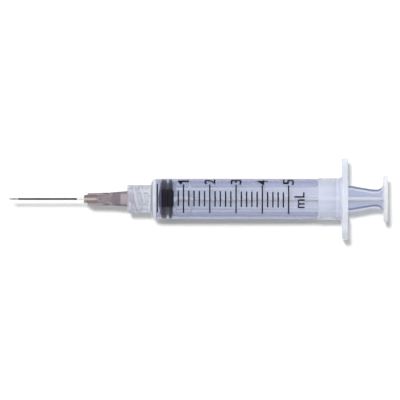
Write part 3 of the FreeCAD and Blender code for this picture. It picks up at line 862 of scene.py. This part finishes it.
def adhesive_film(length):
    """The film of adhesive that runs out of the hub along the cannula, thinning as it goes."""
    tip_radius = (CANNULA_HIGH.y - CANNULA_LOW.y) / 2 + 0.01 * MM
    root_radius = tip_radius + 0.05 * MM
    overlap = 0.02 * MM
    bpy.ops.object.select_all(action="DESELECT")
    bpy.ops.mesh.primitive_cone_add(
        vertices=48,
        radius1=tip_radius,
        radius2=root_radius,
        depth=length,
        location=(GLUE_LOW.x - length / 2 + overlap, 0, AXIS_HEIGHT),
        rotation=ALONG_SYRINGE,
    )
    film = bpy.context.object
    bpy.ops.object.transform_apply(location=True, rotation=True, scale=True)
    soften(film, 0.008 * MM)
    return film


class SYRINGE_OT_needle(bpy.types.Operator):
    """Gives the needle's hub, its cannula and the adhesive their looks"""

    bl_idname = "syringe.needle"
    bl_label = "Needle"

    def execute(self, context):
        colours = context.scene.syringe_colours
        glue = clear_glue()
        dress("needle_hub", smoky_plastic(tuple(colours.hub)))
        dress("cannula", drawn_steel(tuple(colours.steel)))
        dress("cannula_adhesive", glue)
        # The white film stands partly for the adhesive and partly for a painted highlight where the
        # cannula leaves the hub.
        film = adhesive_film(context.scene.syringe_sizes.film_length)
        finish_piece(film, "adhesive_film", glue, "needle")
        return {"FINISHED"}


# Stage

# The ground: its white, its glow to the camera, how much of it is plain white in reflections
# and through plastic, and how far it lies below the finger flange
GROUND_WHITE = (0.98, 0.98, 0.98)
GROUND_GLOW = (0.09, 0.09, 0.09)
PLAIN_SHARE = 0.8
GROUND_GAP = 0.02 * MM
# The dark ceiling: where its middle lies, and how far from there the white sides take over.
# Both are slopes, across the syringe over up.
CEILING_MIDDLE = 0.23
CEILING_EDGE = (1.3, 1.5)
# The height, from 0 at the horizon to 1 overhead, below which it is white all round
WHITE_BELOW = (0.35, 0.5)
# The camera: its height above the axis, and the middle and the width of what it sees
CAMERA_HEIGHT = 1.9
VIEW_MIDDLE = (0.735 * MM, -0.334 * MM)
VIEW_WIDTH = 133.7 * MM


def add_floor():
    """The white ground, which keeps the syringe's shadow."""
    bpy.ops.object.select_all(action="DESELECT")
    bpy.ops.mesh.primitive_plane_add(size=6.0, location=(0, 0, -GROUND_GAP))
    floor = bpy.context.object
    floor.name = "floor"
    material, recipe = new_material("white_ground")
    lit = recipe.node("ShaderNodeBsdfPrincipled", {}, {
        "Base Color": GROUND_WHITE,
        "Roughness": 1.0,
        "Specular IOR Level": 0.0,
        "Emission Color": recipe.mix(recipe.ray("Camera"), (0, 0, 0), GROUND_GLOW),
        "Emission Strength": 1.0,
    })
    plain = recipe.node("ShaderNodeEmission", {}, {"Color": WHITE, "Strength": 1.0})
    around = recipe.ray("Glossy").maths("MAXIMUM", recipe.ray("Transmission"))
    recipe.show(recipe.blend(around * PLAIN_SHARE, lit, plain))
    floor.data.materials.append(material)


def build_studio(settings):
    """A world of white sides and a darker ceiling, all white to the camera."""
    world = bpy.data.worlds.new("studio")
    bpy.context.scene.world = world
    world.use_nodes = True
    recipe = Recipe(world.node_tree)
    direction = recipe.node("ShaderNodeTexCoord", output="Generated")
    across, up = (
        recipe.node("ShaderNodeSeparateXYZ", {}, {0: direction}, output=axis) for axis in "YZ"
    )
    slope = across / up.maths("MAXIMUM", 0.01)
    away = (slope - CEILING_MIDDLE).maths("ABSOLUTE")
    beside = recipe.steps(away, *CEILING_EDGE)
    low = recipe.steps(up, *WHITE_BELOW, 1.0, 0.0)
    light = recipe.steps(beside.maths("MAXIMUM", low), 0.0, 1.0, settings.ceiling, settings.sides)
    studio = recipe.node("ShaderNodeBackground", {}, {"Color": WHITE, "Strength": light})
    white = recipe.node("ShaderNodeBackground", {}, {"Color": WHITE, "Strength": 1.0})
    recipe.show(recipe.blend(recipe.ray("Camera"), studio, white), "World")


def add_key(settings):
    """The lamp that casts the shadow, high above and a little to the upper left."""
    light_from = Vector((-0.17, 0.25, 1.0))
    # Only the direction counts for this kind of lamp: its place is where it is out of the way
    bpy.ops.object.light_add(type="SUN", location=light_from * 1.5)
    lamp = bpy.context.object
    lamp.name = "key"
    lamp.data.energy = settings.key_strength
    lamp.data.angle = settings.key_size
    lamp.visible_glossy = False
    lamp.visible_transmission = False
    lamp.rotation_euler = light_from.to_track_quat("Z", "Y").to_euler()


def add_camera():
    """The camera looks straight down on the syringe from far off."""
    place = (*VIEW_MIDDLE, AXIS_HEIGHT + CAMERA_HEIGHT)
    bpy.ops.object.camera_add(location=place, rotation=(0, 0, 0))
    camera = bpy.context.object
    camera.name = "camera"
    camera.data.sensor_width = 36.0
    camera.data.lens = camera.data.sensor_width * CAMERA_HEIGHT / VIEW_WIDTH
    camera.data.clip_start = 0.1
    camera.data.clip_end = 20.0
    bpy.context.scene.camera = camera


class SYRINGE_OT_stage(bpy.types.Operator):
    """Sets up the ground, the studio's light and the camera"""

    bl_idname = "syringe.stage"
    bl_label = "Stage"

    def execute(self, context):
        settings = context.scene.syringe_stage
        context.scene.view_settings.view_transform = "Standard"
        add_floor()
        build_studio(settings)
        add_key(settings)
        add_camera()
        return {"FINISHED"}


class SYRINGE_PT_panel(bpy.types.Panel):
    """The steps that finish the syringe"""

    bl_label = "Luer lock syringe"
    bl_idname = "SYRINGE_PT_panel"
    bl_space_type = "VIEW_3D"
    bl_region_type = "UI"
    bl_category = "Syringe"

    def draw(self, context):
        scene = context.scene
        for group in (scene.syringe_sizes, scene.syringe_colours, scene.syringe_stage):
            box = self.layout.box()
            for name in group.bl_rna.properties.keys():
                if name not in ("rna_type", "name"):
                    box.prop(group, name)
        for step in STEPS:
            self.layout.operator(step.bl_idname)


STEPS = (
    SYRINGE_OT_stage,
    SYRINGE_OT_barrel,
    SYRINGE_OT_plunger,
    SYRINGE_OT_needle,
    SYRINGE_OT_numbers,
)
GROUPS = (SyringeSizes, SyringeColours, SyringeStage)


def register():
    for cls in (*GROUPS, *STEPS, SYRINGE_PT_panel):
        bpy.utils.register_class(cls)
    bpy.types.Scene.syringe_sizes = PointerProperty(type=SyringeSizes)
    bpy.types.Scene.syringe_colours = PointerProperty(type=SyringeColours)
    bpy.types.Scene.syringe_stage = PointerProperty(type=SyringeStage)


def unregister():
    del bpy.types.Scene.syringe_stage
    del bpy.types.Scene.syringe_colours
    del bpy.types.Scene.syringe_sizes
    for cls in reversed((*GROUPS, *STEPS, SYRINGE_PT_panel)):
        bpy.utils.unregister_class(cls)


def main():
    register()
    bpy.ops.syringe.stage()
    bpy.ops.syringe.barrel()
    bpy.ops.syringe.plunger()
    bpy.ops.syringe.needle()
    bpy.ops.syringe.numbers()


if __name__ == "__main__":
    main()
